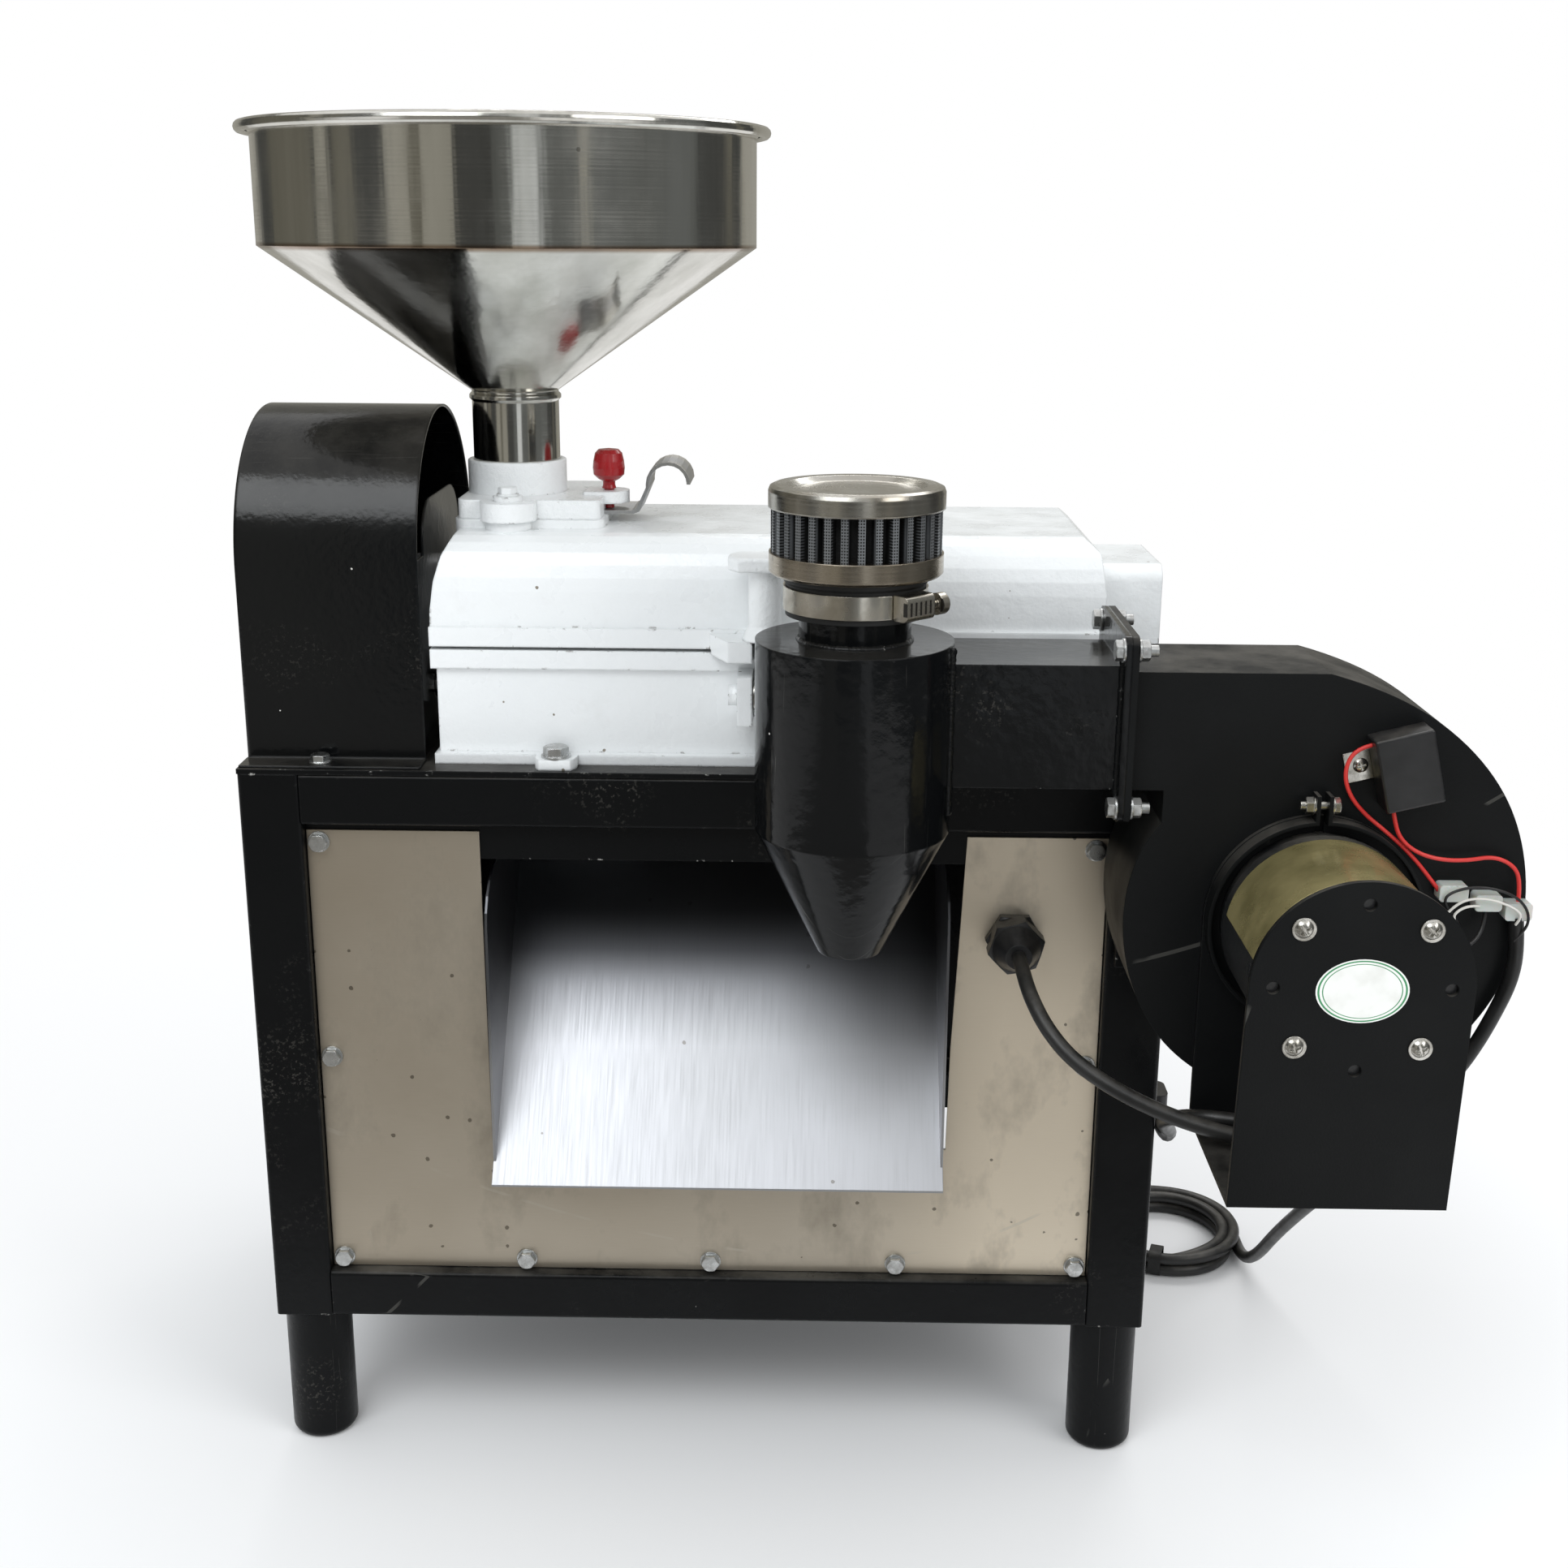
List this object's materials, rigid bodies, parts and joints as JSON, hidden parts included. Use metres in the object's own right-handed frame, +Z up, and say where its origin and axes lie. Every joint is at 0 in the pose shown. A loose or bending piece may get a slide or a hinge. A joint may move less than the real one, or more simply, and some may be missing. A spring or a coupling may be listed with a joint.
{
  "type": "coffee huller",
  "caption": "Bench-height electric coffee huller: hopper on a hinged roller mill, belt guard, discharge chute, blower and cyclone on a steel stand.",
  "frame": {"origin": "on the floor under the middle of the machine's overall box, cord left out", "axes": "+X to the blower's side, +Y to the back, +Z up"},
  "size_m": [0.7024, 0.511, 0.7901],
  "materials": {
    "frame_paint": "gloss",
    "blower_paint": "satin",
    "stainless_panel": "satin",
    "bright_sheet": "bright",
    "polished_stainless": "polished",
    "white_enamel": "painted gloss",
    "machined_steel": "machined",
    "iron": "ground",
    "zinc": "zinc plated",
    "motor_alloy": "painted casting",
    "blower_alloy": "painted can",
    "fan_alloy": "sheet",
    "belt_rubber": "matte",
    "neck_rubber": "matte",
    "cord_rubber": "satin",
    "pleat_fabric": "pleated",
    "knob_red": "gloss",
    "gland_plastic": "satin",
    "capacitor_case": "satin",
    "connector_plastic": "translucent",
    "wire_red": "satin"
  },
  "bodies": {
    "stand": {"corner_posts": "frame_paint", "frame_rails": "frame_paint", "legs": "frame_paint", "table_plate": "frame_paint", "stand_panels": "frame_paint", "motor_bars": "frame_paint", "belt_guard": "frame_paint", "guard_backing_plate": "frame_paint", "cyclone_body": "frame_paint", "suction_box": "frame_paint", "blower_mount": "frame_paint", "blower_housing": "blower_paint", "blower_front_plate": "blower_paint", "motor_bracket": "blower_paint", "motor_clamp_ring": "blower_paint", "front_panel": "stainless_panel", "chute": "bright_sheet", "sieve_screen": "bright_sheet", "filter_cap": "polished_stainless", "filter_ring": "polished_stainless", "lower_casing": "white_enamel", "bearing_housings": "white_enamel", "shaft_bearings": "machined_steel", "pivot_pins": "machined_steel", "swing_bolt": "machined_steel", "hose_clamp": "machined_steel", "capacitor_tab": "machined_steel", "m6_bolts": "zinc", "m8_bolts": "zinc", "flange_bolts": "zinc", "bracket_screws": "zinc", "blower_screws": "zinc", "drive_motor": "motor_alloy", "blower_motor": "blower_alloy", "drive_belts": "belt_rubber", "filter_neck": "neck_rubber", "mains_cord": "cord_rubber", "cord_coil": "cord_rubber", "plug": "cord_rubber", "filter_element": "pleat_fabric", "cable_gland": "gland_plastic", "capacitor": "capacitor_case", "wire_connectors": "connector_plastic", "motor_leads": "wire_red"},
    "cover": {"upper_casing": "white_enamel", "hulling_blade": "machined_steel", "feed_base": "white_enamel", "feed_base_bolts": "zinc"},
    "gate_slide": {"gate_slide": "machined_steel"},
    "gate_knob": {"gate_knob": "knob_red"},
    "hopper": {"hopper": "polished_stainless"},
    "clamp_nut": {"clamp_nut": "white_enamel"},
    "roller": {"roller_shaft": "machined_steel", "roller_pulley": "iron", "hulling_roller": "iron", "feed_screw": "iron"},
    "motor_rotor": {"motor_shaft": "machined_steel", "motor_pulley": "iron"},
    "blower_rotor": {"impeller": "fan_alloy", "blower_shaft": "machined_steel"}
  },
  "joints": [
    {"name": "cover_hinge", "type": "hinge", "parent": "stand", "child": "cover", "pos_m": [-0.05167, 0.12646, 0.506], "axis": [-1, 0, 0], "range_deg": [0, 75]},
    {"name": "gate_travel", "type": "slide", "parent": "cover", "child": "gate_slide", "axis": [1, 0, 0], "range_m": [0, 0.045]},
    {"name": "gate_knob_turn", "type": "hinge", "parent": "cover", "child": "gate_knob", "pos_m": [-0.14567, 0.02046, 0.59], "axis": [0, 0, 1], "range_deg": [0, 540]},
    {"name": "hopper_lift", "type": "slide", "parent": "cover", "child": "hopper", "axis": [0, 0, 1], "range_m": [0, 0.06]},
    {"name": "clamp_nut_turn", "type": "hinge", "parent": "cover", "child": "clamp_nut", "pos_m": [-0.05117, -0.07054, 0.54], "axis": [0, 0, 1], "range_deg": [0, 1440]},
    {"name": "roller_spin", "type": "hinge", "parent": "stand", "child": "roller", "pos_m": [-0.05167, 0.03045, 0.506], "axis": [1, 0, 0], "continuous": true},
    {"name": "motor_spin", "type": "hinge", "parent": "stand", "child": "motor_rotor", "pos_m": [-0.26967, 0.11546, 0.206], "axis": [1, 0, 0], "continuous": true},
    {"name": "blower_spin", "type": "hinge", "parent": "stand", "child": "blower_rotor", "pos_m": [0.23933, -0.13454, 0.3875], "axis": [0, -1, 0], "continuous": true}
  ],
  "couplings": [
    {"joint": "motor_spin", "follows": "roller_spin", "ratio": 1.3158}
  ]
}
